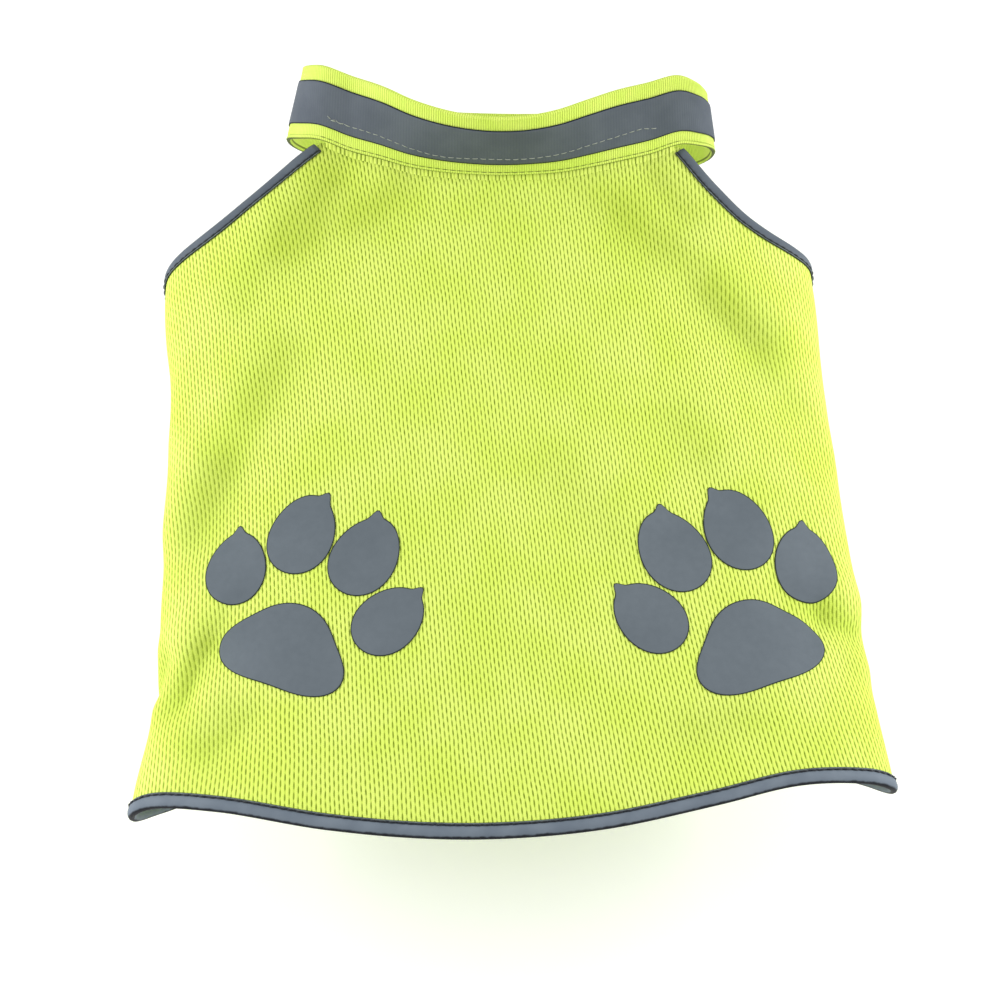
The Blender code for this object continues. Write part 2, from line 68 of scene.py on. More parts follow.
# ---------------- sizes shared with the solids
PANEL_WALL = 1.0
BAND_WIDTH = 25.0
BAND_WALL = 1.5
STRIPE_FROM = 5.2
STRIPE_TO = 20.0
TAPE_WALL = 1.0
GAP = 0.3
LAP_FILLING = 3 * GAP + 2 * TAPE_WALL
BELLY_LAP = 40.0
BELLY_RAMP = 46.0
BELLY_TAPE_INSET = 5.0
BELLY_TAPE_ENDS = (-54.0, 50.0)
NECK_LAP = 40.0
LAP_MARGIN = 3.0
LAP_CLEAR = 4.0
NECK_RAMP = 30.0
TAPE_INSET = 2.0
NECK_HALF = 61.0
BACK_SQUARENESS = 2.6
BELLY_SQUARENESS = 2.3

SECTION_COLUMNS = ("station", "left", "right", "rise", "drop", "ridge")
SECTIONS = (
    (-125, 110.5, 120, 25, 52, 3),
    (-98, 109.5, 118.5, 24, 54, 2),
    (-66, 105, 114.5, 22, 57, 0.5),
    (-33, 106, 112, 21, 60, 0),
    (2, 107, 109.5, 21, 62, 0),
    (39, 109.5, 107.5, 22, 62, 1),
    (79, 114, 107, 25, 60, 3),
    (110, 113, 105, 31, 56, 5),
    (145, 106, 100, 38, 52, 8),
)

EDGE_COLUMNS = ("girth", "station")
NECKLINE = (
    (-61, 126), (-52, 121.5), (-34, 114.8), (-9, 111),
    (10, 111), (32, 114), (52, 120.5), (61, 124.5),
)
LEFT_FRONT = (
    (-300, 56), (-240, 56), (-200, 59), (-160, 68), (-138, 78.5),
    (-124, 84), (-111, 89), (-95, 98), (-78, 110.8), (-61, 126),
)
RIGHT_FRONT = (
    (61, 124.5), (74, 108), (90, 95.5), (102, 91), (114, 89),
    (130, 83), (155, 71.5), (200, 59), (240, 56), (300, 56),
)
HEM = (
    (-300, -60), (-240, -60), (-195, -66), (-160, -81), (-138, -94.5),
    (-120, -102), (-102, -102), (-83, -104.5), (-49, -111), (-6, -114),
    (30, -111), (64, -103), (86, -97), (110, -94.5), (126, -94),
    (146, -85), (170, -72), (200, -64), (240, -60), (300, -60),
)

# The folds of the solids, then the finer creases that only the looks have.
FOLD_COLUMNS = ("from_girth", "from_station", "to_girth", "to_station", "depth", "width")
FOLDS = (
    (-97, -22, -83, 12, 1.7, 9),
    (-78, 20, -62, 52, 0.9, 10),
    (-70, 84, -50, 116, 1.4, 10),
    (-76, 80, -27, 102, 0.7, 9),
    (45, 116, 66, 92, 1.3, 9),
    (23, 106, 55, 77, 1, 10),
    (61, 71, 88, 45, 2.1, 9),
    (-101, -76, -84, -47, 1.6, 6.5),
    (-111, -66, -103, -52, 1.2, 6),
    (-88, -92, -74, -74, 1.2, 9),
    (96, -42, 116, -49, 1.4, 8),
    (52, -89, 80, -80, 0.8, 9),
    (49, 25, 62, 2, 0.8, 10),
    (8, 5, 37, -30, 0.6, 11),
    (-150, 20, -168, -30, 1.8, 10),
    (148, 34, 172, -12, 1.9, 10),
    (-200, -10, -188, -46, 1.4, 10),
    (184, -26, 198, -50, 1.5, 10),
)
# A fold's form in shares of its depth and width: its lip lies left of its run, its soft side right.
FOLD_GAIN = 1.5
FOLD_FADE = 0.25
LIP_HEIGHT = 0.55
LIP_AWAY = 1.6
SOFT_SIDE = 1.7
# Where a fold's painted shade lies on its slope, in shares of its width.
SLOPE_AWAY = 0.55
SLOPE_WIDTH = 0.85
CREASE_WANDER = 0.9
CREASES = (
    (34, 105, 64, 74, 0.80, 7),
    (14, 112, 30, 100, 0.45, 6),
    (-90, -10, -68, 44, 0.55, 8),
    (-86, 60, -70, 84, 0.75, 8),
    (-48, 90, -26, 108, 0.80, 9),
    (-70, 76, -44, 108, 0.50, 14),
    (84, -36, 102, -45, 0.80, 6),
    (84, 46, 94, 26, 0.60, 7),
    (60, 6, 74, -18, 0.35, 8),
    (-97.5, -70, -88.5, -50, 0.55, 2.6),
    (-86, -46, -76, -37, 0.35, 3.2),
    (-113, -68, -104, -53, 0.50, 3),
    (-86, -90, -70, -73, 0.30, 3.6),
    (98, -42, 113, -48, 0.45, 3),
    (104, -55, 117, -66, 0.35, 4),
    (-64, 92, -51, 114, 0.40, 4),
    (-42, 98, -30, 110, 0.30, 4),
    (48, 114, 62, 97, 0.40, 3.6),
    (34, 104, 44, 90, 0.30, 4),
    (70, 66, 86, 50, 0.35, 3.6),
    (98, 30, 108, 4, 0.35, 5),
    (-112, 52, -120, 22, 0.40, 6),
    (-140, -30, -152, -62, 0.60, 4),
    (-170, 40, -186, 8, 0.55, 4),
    (132, -30, 150, -60, 0.60, 4),
    (168, 38, 182, 10, 0.55, 4),
    (-214, 22, -206, -24, 0.50, 5),
    (204, 14, 212, -22, 0.50, 5),
)

NECK_COLUMNS = ("across", "forward", "height", "lean", "inward")
NECK_LEFT = (
    (-69.3, 130.4, 0.5, 44.0, 0.17),
    (-74.8, 138.0, -10.5, 39.0, 0.27),
    (-74.2, 144.5, -24.0, 34.0, 0.28),
    (-64.5, 149.0, -37.5, 34.0, 0.16),
    (-37.0, 150.5, -49.0, 38.0, 0.04),
)
NECK_THROAT = (0.0, 150.5, -53.0, 40.0, 0.0)
NECK_RIGHT = (
    (37.0, 149.0, -49.5, 42.0, -0.04),
    (64.5, 144.5, -38.5, 50.0, -0.13),
    (74.8, 139.2, -24.5, 63.0, -0.20),
    (75.0, 133.2, -10.5, 74.0, -0.20),
    (69.0, 127.4, 0.5, 68.0, -0.14),
)
NECK_LEAN = (
    (-61, 48), (-50, 48), (-40, 56), (-30, 66), (-17, 74.5), (0, 78.5),
    (11, 77.5), (20, 73), (31, 65), (42, 58), (50, 57.5), (61, 62),
)

PAW_COLUMNS = ("name", "girth", "station", "tilt", "size")
PAWS = (
    ("left", -58.5, -40.0, 22.0, 65.0),
    ("right", 71.0, -38.5, -22.0, 67.0),
)
TOE_COLUMNS = ("name", "across", "along", "half_width", "half_length", "turn", "claw")
TOES = (
    ("toe_1", -0.40, 0.03, 0.150, 0.190, 22.0, 0.0),
    ("toe_2", -0.165, 0.29, 0.160, 0.210, 4.0, 18.0),
    ("toe_3", 0.165, 0.29, 0.160, 0.210, -4.0, -18.0),
    ("toe_4", 0.40, 0.03, 0.150, 0.190, -22.0, 0.0),
)
PAD_DOWN = 0.27
PAD_HALF_WIDTH = 0.30
PAD_HALF_LENGTH = 0.215

# ---------------- sizes of the looks alone
COLUMN_STEPS = ((0.0, 2.2), (60.0, 2.0), (88.0, 1.3), (130.0, 1.3), (160.0, 2.0), (280.0, 2.2))
PANEL_ROWS = 112
ALLOWANCE_WIDTHS = (1.2, 2.4, 3.6, 4.8, 6.0, 7.0)
ALLOWANCE_WALL = 0.7
ALLOWANCE_GAP = 0.15
FILM_WALL = 0.20
FILM_EDGE = 0.35
PRESSED_GAP = 0.12
BINDING_CLOTH = 0.5
STRIPE_CLOTH = 0.4
EDGE_LINE = 0.42
FASTENING_STITCH = {"pitch": 2.6, "length": 2.1, "radius": 0.18}

# Lines along the webbing, closer at its edges and beside its sunk seam.
BAND_WIDTHS = (0.0, 0.3, 0.8, 1.2, 1.6, 2.2, 3.0, 4.0, 5.2, 7.0, 9.0, 11.0, 13.0)
BAND_WIDTHS += (15.0, 17.0, 18.8, 20.0, 21.2, 22.2, 23.2, 24.0, 24.7, 25.0)

STITCH_PITCH = 2.7
THREAD_LIFT = 0.02

# Outer half of the folded binding's section: depth in from the cloth's edge, height over its middle.
BINDING_HALF = (
    (3.85, 0.80), (3.45, 0.93), (3.05, 0.90), (2.70, 0.80), (2.35, 0.90), (1.70, 1.08),
    (0.90, 1.16), (0.10, 1.12), (-0.55, 0.92), (-1.00, 0.52), (-1.16, 0.0),
)
BINDING_SECTION = BINDING_HALF + tuple((depth, -height) for depth, height in BINDING_HALF[-2::-1])
BINDING_NARROWED = 0.84
BINDING_STEP = 0.0045
CORNER_GAP = 0.004
PUCKER = 0.07
BINDING_SEAM = 3.00
SEAM_GROOVE = 1.35

# Run and width of the light seam on the stripe, and of the tangled stitches where it begins.
LIGHT_SEAM = (
    (128.5, 8.1), (136.0, 8.5), (149.5, 8.2), (157.0, 7.8), (167.0, 7.1), (183.5, 7.9),
    (198.0, 7.8), (208.5, 8.2), (220.5, 9.0), (231.0, 9.5), (237.5, 10.0), (243.5, 8.8),
)
BACKTACK = (
    (127.6, 9.1), (129.4, 8.2), (130.6, 8.8), (132.2, 8.1), (133.6, 8.7), (135.4, 8.3),
)


# ---------------- curves
def column(rows, names, name):
    return np.array([row[names.index(name)] for row in rows], float)


def through(at, places, values):
    """A smooth curve through a table's points, its slopes taken from their neighbours."""
    places = np.asarray(places, float)
    values = np.asarray(values, float)
    slopes = np.gradient(values, places)
    at = np.clip(at, places[0], places[-1])
    k = np.clip(np.searchsorted(places, at) - 1, 0, len(places) - 2)
    step = places[k + 1] - places[k]
    f = (at - places[k]) / step
    start = (1 + 2 * f) * (1 - f) ** 2 * values[k] + f * (1 - f) ** 2 * step * slopes[k]
    end = f * f * (3 - 2 * f) * values[k + 1] + f * f * (f - 1) * step * slopes[k + 1]
    return start + end


def ease(share):
    share = np.clip(share, 0.0, 1.0)
    return share * share * (3 - 2 * share)


def unit(vector):
    return vector / np.linalg.norm(vector, axis=-1, keepdims=True)


def running(steps):
    """Distance gone at each point of a line, from the lengths of its steps."""
    return np.concatenate([[0.0], np.cumsum(steps)])


# ---------------- the body's surface
RING_SAMPLES = 401
STATION_STEP = 2.5
LATTICE_STATIONS = np.arange(-125.0, 145.1, STATION_STEP)


def ring_at(station):
    """Half a section each side, as points at equal steps from the back's middle to the belly's."""
    stations = column(SECTIONS, SECTION_COLUMNS, "station")
    left, right, rise, drop, ridge = (
        through(station, stations, column(SECTIONS, SECTION_COLUMNS, name))
        for name in SECTION_COLUMNS[1:]
    )
    turn = np.linspace(0.0, math.pi, 1441)
    up = np.cos(turn)
    square = np.where(up > 0, BACK_SQUARENESS, BELLY_SQUARENESS)
    across = np.abs(np.sin(turn)) ** (2 / square)
    height = np.sign(up) * np.abs(up) ** (2 / square) * np.where(up > 0, rise, drop)
    halves = []
    for half, side in ((left, -1.0), (right, 1.0)):
        x = side * half * across
        z = ridge - rise + height
        run = running(np.hypot(np.diff(x), np.diff(z)))
        even = np.linspace(0.0, run[-1], RING_SAMPLES)
        halves.append((run[-1], np.interp(even, run, x), np.interp(even, run, z)))
    return halves


def lattice():
    lengths = np.zeros((len(LATTICE_STATIONS), 2))
    points = np.zeros((len(LATTICE_STATIONS), 2 * RING_SAMPLES - 1, 2))
    for i, station in enumerate(LATTICE_STATIONS):
        left, right = ring_at(station)
        lengths[i] = left[0], right[0]
        for k in (0, 1):
            points[i, :, k] = np.concatenate([left[k + 1][::-1], right[k + 1][1:]])
    return lengths, points


LENGTHS, RINGS = lattice()


def half_girth(station, side):
    left = np.interp(station, LATTICE_STATIONS, LENGTHS[:, 0])
    right = np.interp(station, LATTICE_STATIONS, LENGTHS[:, 1])
    return np.where(np.asarray(side) < 0, left, right)


def share_of(station, girth):
    return girth / half_girth(station, girth)


def smooth_weights(f):
    """Weights of four neighbours for a curve without corners between lattice points."""
    return (
        0.5 * (-f + 2 * f**2 - f**3),
        0.5 * (2 - 5 * f**2 + 3 * f**3),
        0.5 * (f + 4 * f**2 - 3 * f**3),
        0.5 * (-(f**2) + f**3),
    )


def shell(station, share):
    """A point of the smooth body: share is -1 to 1 from the belly's middle round to it again."""
    station, share = np.broadcast_arrays(np.asarray(station, float), np.asarray(share, float))
    share = (share + 1.0) % 2.0 - 1.0
    row = np.clip((station - LATTICE_STATIONS[0]) / STATION_STEP, 0, len(LATTICE_STATIONS) - 1.001)
    place = np.clip((share + 1.0) * (RING_SAMPLES - 1), 0, 2 * RING_SAMPLES - 2.001)
    i = row.astype(int)
    j = place.astype(int)
    g = (place - j)[..., None]
    flat = 0.0
    for step, weight in zip((-1, 0, 1, 2), smooth_weights(row - i)):
        k = np.clip(i + step, 0, len(LATTICE_STATIONS) - 1)
        flat = flat + weight[..., None] * (RINGS[k, j] * (1 - g) + RINGS[k, j + 1] * g)
    return np.stack([flat[..., 0], station, flat[..., 1]], axis=-1)


def shell_normal(station, share):
    along = shell(station + 1.5, share) - shell(station - 1.5, share)
    around = shell(station, share + 0.012) - shell(station, share - 0.012)
    return unit(np.cross(around, along))


def fold_reach(station, girth):
    """How far the folds push the cloth in or out, a little unevenly, and how much painted shade their
    slopes get.
    """
    height = np.zeros(np.broadcast(station, girth).shape)
    painted_crease_shade = np.zeros(height.shape)
    for number, row in enumerate(FOLDS + CREASES):
        fold = dict(zip(FOLD_COLUMNS, row))
        start = np.array([fold["from_girth"], fold["from_station"]])
        run = np.array([fold["to_girth"], fold["to_station"]]) - start
        length = np.hypot(*run)
        run = run / length
        dx = girth - start[0]
        dy = station - start[1]
        along = (dx * run[0] + dy * run[1]) / length
        aside = dx * -run[1] + dy * run[0]
        if number >= len(FOLDS):
            aside = aside + CREASE_WANDER * np.sin(5.1 * along + number)
        start_fade = ease((along + FOLD_FADE) / (2 * FOLD_FADE))
        ends = start_fade * ease((1 + FOLD_FADE - along) / (2 * FOLD_FADE))
        width = fold["width"]
        trough = np.exp(-((aside / (np.where(aside < 0, SOFT_SIDE, 1.0) * width)) ** 2))
        lip = np.exp(-(((aside - LIP_AWAY * width) / width) ** 2))
        slope = np.exp(-(((aside - SLOPE_AWAY * width) / (SLOPE_WIDTH * width)) ** 2))
        height = height + FOLD_GAIN * fold["depth"] * ends * (LIP_HEIGHT * lip - trough)
        # Painted shade: each fold's slope between trough and lip is darkened in colour.
        painted_crease_shade = painted_crease_shade + fold["depth"] * ends * slope
    return height, np.clip(painted_crease_shade / 2.0, 0.0, 1.0)


def ripple(station, girth):
    """The cloth's faint unevenness between its folds."""
    slow = np.sin(girth / 17.0 + 0.6 * np.sin(station / 23.0)) * np.sin(station / 19.0 + 1.3)
    quick = np.sin(girth / 7.3 + station / 11.0) * np.sin(station / 8.1 - girth / 13.0)
    return 0.16 * slow + 0.05 * quick


def lap_lift(station, share):
    """The left belly end lies outside the right one, with the fastening between them."""
    lift = PANEL_WALL + LAP_FILLING
    girth = np.abs(share) * half_girth(station, share)
    whole = half_girth(station, share) - BELLY_LAP / 2 - LAP_MARGIN
    return np.where(share < 0, lift * ease((girth - whole + BELLY_RAMP) / BELLY_RAMP), 0.0)


def on_body(station, share, lift=0.0):
    """A point of the panel's middle surface, moved out by lift."""
    station, share = np.broadcast_arrays(np.asarray(station, float), np.asarray(share, float))
    girth = share * half_girth(station, share)
    height = fold_reach(station, girth)[0] + ripple(station, girth) + lap_lift(station, share)
    height = height + PANEL_WALL / 2 + lift
    return shell(station, share) + shell_normal(station, share) * height[..., None]


# ---------------- the panel's cut
def along_edge(girth, rows):
    return through(girth, *(column(rows, EDGE_COLUMNS, name) for name in EDGE_COLUMNS))


def front_station(girth):
    left, neck, right = (along_edge(girth, rows) for rows in (LEFT_FRONT, NECKLINE, RIGHT_FRONT))
    return np.where(girth < -NECK_HALF, left, np.where(girth > NECK_HALF, right, neck))


def hem_station(girth):
    return along_edge(girth, HEM)


def edge_at(share, edge):
    """Station of an edge on one line of constant share, found from its girth there."""
    station = np.zeros_like(share)
    for _ in range(12):
        station = 0.5 * station + 0.5 * edge(share * half_girth(station, share))
    return station


def neck_share(side):
    share = side * 0.27
    for _ in range(20):
        station = edge_at(np.array([share]), front_station)[0]
        share = side * NECK_HALF / float(half_girth(station, side))
    return share


BELLY = float(half_girth(0.0, 1.0))
PANEL_END = 1.0 + BELLY_LAP / 2 / BELLY
BINDING_STOP = 1.0 - (BELLY_LAP / 2 + LAP_MARGIN) / BELLY
LEFT_CORNER = neck_share(-1.0)
RIGHT_CORNER = neck_share(1.0)


def panel_shares():
    """Lines of the panel from its left end to its right one, closer where the sides turn."""
    shares = [np.array([-PANEL_END])]
    ends = (-PANEL_END, LEFT_CORNER, RIGHT_CORNER, PANEL_END)
    for start, stop in zip(ends, ends[1:]):
        fine = np.linspace(start, stop, 2001)
        steps = through(np.abs(fine * BELLY), *zip(*COLUMN_STEPS))
        middle = 0.5 * (steps[1:] + steps[:-1])
        crowd = running(np.diff(fine) * BELLY / middle)
        count = int(round(crowd[-1]))
        shares.append(np.interp(np.linspace(0, crowd[-1], count + 1)[1:], crowd, fine))
    return np.concatenate(shares)


SHARES = panel_shares()


# ---------------- the neck band's surface
NECK_GIRTHS = np.linspace(-NECK_HALF, NECK_HALF, 13)


def width_way(inward, lean):
    lean = math.radians(lean)
    return unit(np.array([inward, math.cos(lean), math.sin(lean)]))


def free_frame(row):
    place = dict(zip(NECK_COLUMNS, row))
    foot = np.array([place["across"], place["forward"], place["height"]])
    return foot, width_way(place["inward"], place["lean"])


def neck_frames():
    """Lower edge of the band and its width direction, from the throat's middle round to it again."""
    rows = [free_frame(row) for row in (NECK_THROAT,) + NECK_LEFT[::-1]]
    for girth in NECK_GIRTHS:
        share = girth / float(half_girth(120.0, girth))
        station = float(edge_at(np.array([share]), front_station)[0])
        share = girth / float(half_girth(station, girth))
        lift = PANEL_WALL / 2 + GAP + BAND_WALL / 2 + 0.4
        foot = on_body(np.array([station]), np.array([share]), lift)[0]
        lean = float(through(girth, *zip(*NECK_LEAN)))
        rows.append((foot, width_way(-0.10 * girth / NECK_HALF, lean)))
    rows += [free_frame(row) for row in NECK_RIGHT[::-1] + (NECK_THROAT,)]
    return np.array([row[0] for row in rows]), np.array([row[1] for row in rows])


def closed_curve(values, run, at):
    """A smooth closed curve through values, by distance round it."""
    total = run[-1]
    wide_run = np.concatenate([run[-4:-1] - total, run, run[1:4] + total])
    wide = np.concatenate([values[-4:-1], values, values[1:4]])
    return np.stack([through(at, wide_run, wide[:, k]) for k in range(3)], axis=-1)


NECK_FEET, NECK_WAYS = neck_frames()
NECK_RUN = running(np.linalg.norm(np.diff(NECK_FEET, axis=0), axis=1))
NECK_ROUND = NECK_RUN[-1]


def on_band(run, width, lift):
    """A point of the band: run from the throat's middle, width up from the lower edge, lift out."""
    run, width = np.broadcast_arrays(np.asarray(run, float), np.asarray(width, float))
    wrapped = run % NECK_ROUND
    foot = closed_curve(NECK_FEET, NECK_RUN, wrapped)
    way = unit(closed_curve(NECK_WAYS, NECK_RUN, wrapped))
    before = closed_curve(NECK_FEET, NECK_RUN, (wrapped - 1.0) % NECK_ROUND)
    after = closed_curve(NECK_FEET, NECK_RUN, (wrapped + 1.0) % NECK_ROUND)
    out = unit(np.cross(after - before, way))
    ramp_end = NECK_LAP / 2 + LAP_MARGIN
    outer = np.clip((ramp_end + NECK_RAMP - run) / NECK_RAMP, 0.0, 1.0)
    full = BAND_WALL + LAP_FILLING
    wave = 0.16 * np.sin(run / 9.0) * (width / BAND_WIDTH)
    reach = (lift + wave + full * ease(outer))[..., None]
    return foot + way * width[..., None] + out * reach


def run_over_neckline(girth):
    """The band's run above a girth of the neckline."""
    first = 1 + len(NECK_LEFT)
    return np.interp(girth, NECK_GIRTHS, NECK_RUN[first : first + len(NECK_GIRTHS)])


# ---------------- meshes
def grid_normal(grid):
    along = np.gradient(grid, axis=0)
    around = np.gradient(grid, axis=1)
    return unit(np.cross(around, along))


def cloth_geometry(grid, wall, places, edge=0.45):
    """A closed sheet of cloth round a grid of middle points, its border thinned to look rounded."""
    rows, columns = grid.shape[:2]
    half = np.full((rows, columns), wall / 2)
    half[[0, -1], :] = edge * wall / 2
    half[:, [0, -1]] = edge * wall / 2
    offset = grid_normal(grid) * half[..., None]
    points = np.concatenate([(grid + offset).reshape(-1, 3), (grid - offset).reshape(-1, 3)])
    corner = (np.arange(rows - 1)[:, None] * columns + np.arange(columns - 1)).ravel()
    outer = np.stack([corner, corner + 1, corner + columns + 1, corner + columns], axis=-1)
    under = rows * columns
    border = np.concatenate(
        [
            np.arange(columns),
            np.arange(1, rows) * columns + columns - 1,
            (rows - 1) * columns + np.arange(columns - 2, -1, -1),
            np.arange(rows - 2, 0, -1) * columns,
        ]
    )
    follow = np.roll(border, -1)
    rim = np.stack([border, border + under, follow + under, follow], axis=-1)
    faces = np.concatenate([outer, outer[:, ::-1] + under, rim]).tolist()
    return points, faces, np.concatenate([places.reshape(-1, 2)] * 2)


def in_scene(name, data):
    made = bpy.data.objects.new(name, data)
    bpy.context.scene.collection.objects.link(made)
    return made


def make_piece(name, parts, look, node=None, painted_crease_shade=None):
    """An object from one or more (points, faces, places), its places kept as the UV map."""
    points = np.concatenate([part[0] for part in parts]) * MM
    places = np.concatenate([part[2] for part in parts])
    faces = []
    first = 0
    for part in parts:
        faces.extend([tuple(corner + first for corner in face) for face in part[1]])
        first += len(part[0])
    mesh = bpy.data.meshes.new(name)
    mesh.from_pydata(points.tolist(), [], faces)
    mesh.update()
    mesh.shade_smooth()
    used = np.empty(len(mesh.loops), np.int32)
    mesh.loops.foreach_get("vertex_index", used)
    mesh.uv_layers.new(name="places").data.foreach_set("uv", places[used].ravel())
    # The panel's painted shade on its fold slopes goes in as a point attribute.
    if painted_crease_shade is not None:
        mesh.attributes.new("painted_crease_shade", "FLOAT", "POINT").data.foreach_set("value", painted_crease_shade)
    mesh.materials.append(LOOKS[look])
    made = in_scene(name, mesh)
    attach(made, "root")
    if node:
        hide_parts(node)
    return made


def mesh_places(station, share):
    """Where the knit's columns and rows run: they lean a little, and stretch towards the flanks."""
    station, share = np.broadcast_arrays(station, share)
    girth = share * half_girth(station, share)
    stretched = girth - 60.0 * np.tanh(girth / 60.0)
    columns = 1.06 * girth + 0.115 * station + 0.00008 * girth * station
    columns = columns - 0.000005 * girth * station**2 - 0.000012 * station**2 - 0.09 * stretched
    rows = 0.97 * station - 0.187 * girth - 0.00016 * girth * station - 0.0003 * station**2
    return np.stack([columns, rows], axis=-1)


# ---------------- thread
# Rings along one stitch, in shares of its half length and radius: place, thickness and rise.
STITCH_RINGS = (
    (-1.0, 0.35, -0.5),
    (-0.75, 0.85, 0.35),
    (0.0, 1.0, 0.75),
    (0.75, 0.85, 0.35),
    (1.0, 0.35, -0.5),
)
STITCH_SIDES = 6


def stitch_geometry(line, out, pitch, length, radius, wander=0.0):
    """Single stitches along a line of points: each rises from the cloth and dips back into it."""
    gone = running(np.linalg.norm(np.diff(line, axis=0), axis=1))
    count = max(1, int(gone[-1] / pitch))
    middles = (np.arange(count) + 0.5) * gone[-1] / count

    def found(places, values):
        return np.stack([np.interp(places, gone, values[:, k]) for k in range(3)], axis=-1)

    at = found(middles, line)
    up = unit(found(middles, out))
    way = unit(found(middles + 0.4, line) - found(middles - 0.4, line))
    side = unit(np.cross(up, way))
    slant = wander * np.sin(np.arange(count) * 2.4)
    way = unit(way + side * slant[:, None])
    side = unit(np.cross(up, way))
    turns = np.arange(STITCH_SIDES) * 2 * math.pi / STITCH_SIDES
    rings = []
    places = []
    for reach, thick, rise in STITCH_RINGS:
        centre = at + way * (reach * length / 2) + up * (rise * radius)
        for turn in turns:
            push = side * math.cos(turn) + up * math.sin(turn)
            rings.append(centre + push * (radius * thick))
            places.append((reach * length / 2, turn))
    points = np.stack(rings, axis=1).reshape(-1, 3)
    each = len(rings)
    faces = []
    for ring in range(len(STITCH_RINGS) - 1):
        for k in range(STITCH_SIDES):
            a = ring * STITCH_SIDES + k
            b = ring * STITCH_SIDES + (k + 1) % STITCH_SIDES
            faces.append((a, a + STITCH_SIDES, b + STITCH_SIDES, b))
    first = [(0, k, k + 1) for k in range(1, STITCH_SIDES - 1)]
    top = each - STITCH_SIDES
    last = [(top, top + k + 1, top + k) for k in range(1, STITCH_SIDES - 1)]
    starts = np.arange(count) * each
    quads = (np.array(faces)[None] + starts[:, None, None]).reshape(-1, 4).tolist()
    ends = (np.array(first + last)[None] + starts[:, None, None]).reshape(-1, 3).tolist()
    return points, quads + ends, np.tile(np.array(places), (count, 1))


def seam_on_body(stations, shares, lift, **kind):
    line = on_body(stations, shares, lift)
    out = shell_normal(stations, shares) * np.sign(lift)
    return stitch_geometry(line, out, **kind)


def seam_on_band(runs, widths, lift, **kind):
    line = on_band(runs, widths, lift)
    out = (on_band(runs, widths, lift + 1.0) - line) * np.sign(lift)
    return stitch_geometry(line, out, **kind)


# ---------------- materials
def linear(red, green, blue):
    """A screen colour, 0 to 255, as the light that a shader wants."""
    shares = np.array([red, green, blue]) / 255.0
    made = np.where(shares <= 0.04045, shares / 12.92, ((shares + 0.055) / 1.055) ** 2.4)
    return tuple(made.tolist()) + (1.0,)


class Look:
    """A material, with short names for the nodes that it is wired from."""

    def __init__(self, name, roughness, specular=0.35, sheen=0.0):
        self.material = bpy.data.materials.new(name)
        self.material.use_nodes = True
        self.tree = self.material.node_tree
        self.shader = self.tree.nodes["Principled BSDF"]
        self.shader.inputs["Roughness"].default_value = roughness
        self.shader.inputs["Specular IOR Level"].default_value = specular
        self.shader.inputs["Sheen Weight"].default_value = sheen
        self.shader.inputs["Sheen Roughness"].default_value = 0.5
        split = self.node("ShaderNodeSeparateXYZ")
        self.places = self.node("ShaderNodeUVMap")
        self.places.uv_map = "places"
        self.tree.links.new(self.places.outputs[0], split.inputs[0])
        self.u = split.outputs["X"]
        self.v = split.outputs["Y"]

    def node(self, kind, **settings):
        made = self.tree.nodes.new(kind)
        for name, value in settings.items():
            setattr(made, name, value)
        return made

    def put(self, socket, value):
        if isinstance(value, bpy.types.NodeSocket):
            self.tree.links.new(value, socket)
        else:
            socket.default_value = value

    def math(self, operation, first, second=0.0):
        made = self.node("ShaderNodeMath", operation=operation)
        self.put(made.inputs[0], first)
        self.put(made.inputs[1], second)
        return made.outputs[0]

    def add(self, first, second):
        return self.math("ADD", first, second)

    def times(self, first, second):
        return self.math("MULTIPLY", first, second)

    def step(self, value, start, stop, low=0.0, high=1.0):
        made = self.node("ShaderNodeMapRange", interpolation_type="SMOOTHSTEP")
        for socket, given in zip(made.inputs, (value, start, stop, low, high)):
            self.put(socket, given)
        return made.outputs[0]

    def noise(self, scale, detail=2.0, roughness=0.5, vector=None):
        made = self.node("ShaderNodeTexNoise")
        made.inputs["Scale"].default_value = scale
        made.inputs["Detail"].default_value = detail
        made.inputs["Roughness"].default_value = roughness
        self.put(made.inputs["Vector"], vector or self.places.outputs[0])
        return made.outputs["Fac"]

    def clouds(self, scale, vector=None):
        """Soft patches, for two tones of one colour."""
        return self.step(self.noise(scale, 3.0, vector=vector), 0.3, 0.7)

    def away(self, value, place):
        return self.math("ABSOLUTE", self.add(value, -place))

    def room(self):
        return self.node("ShaderNodeTexCoord").outputs["Object"]

    def wave(self, place, period):
        """0 to 1 and back over each period."""
        turned = self.times(place, 2 * math.pi / period)
        return self.add(self.times(self.math("COSINE", turned), 0.5), 0.5)

    def mix(self, share, first, second):
        made = self.node("ShaderNodeMix", data_type="RGBA")
        self.put(made.inputs[0], share)
        self.put(made.inputs[6], first)
        self.put(made.inputs[7], second)
        return made.outputs[2]

    def colour(self, value):
        self.put(self.shader.inputs["Base Color"], value)

    def bump(self, height, depth, strength):
        made = self.node("ShaderNodeBump")
        made.inputs["Strength"].default_value = strength
        made.inputs["Distance"].default_value = depth * MM
        self.put(made.inputs["Height"], height)
        self.put(self.shader.inputs["Normal"], made.outputs[0])


KNIT_ACROSS = 2.5
KNIT_ALONG = 3.06
HOLE_HALF_WIDTH = 0.23
HOLE_HALF_LENGTH = 1.20
LOOP_PITCH = 0.62


def knit_holes(look, u, v, shift):
    """One of the two staggered sets of small upright holes."""
    across = look.math("FRACT", look.add(look.times(u, 1 / KNIT_ACROSS), shift))
    across = look.times(look.away(across, 0.5), KNIT_ACROSS / HOLE_HALF_WIDTH)
    along = look.math("FRACT", look.add(look.times(v, 1 / KNIT_ALONG), shift))
    along = look.times(look.away(along, 0.5), KNIT_ALONG / HOLE_HALF_LENGTH)
    reach = look.math("SQRT", look.add(look.times(across, across), look.times(along, along)))
    return look.step(reach, 0.55, 1.2, 1.0, 0.0)


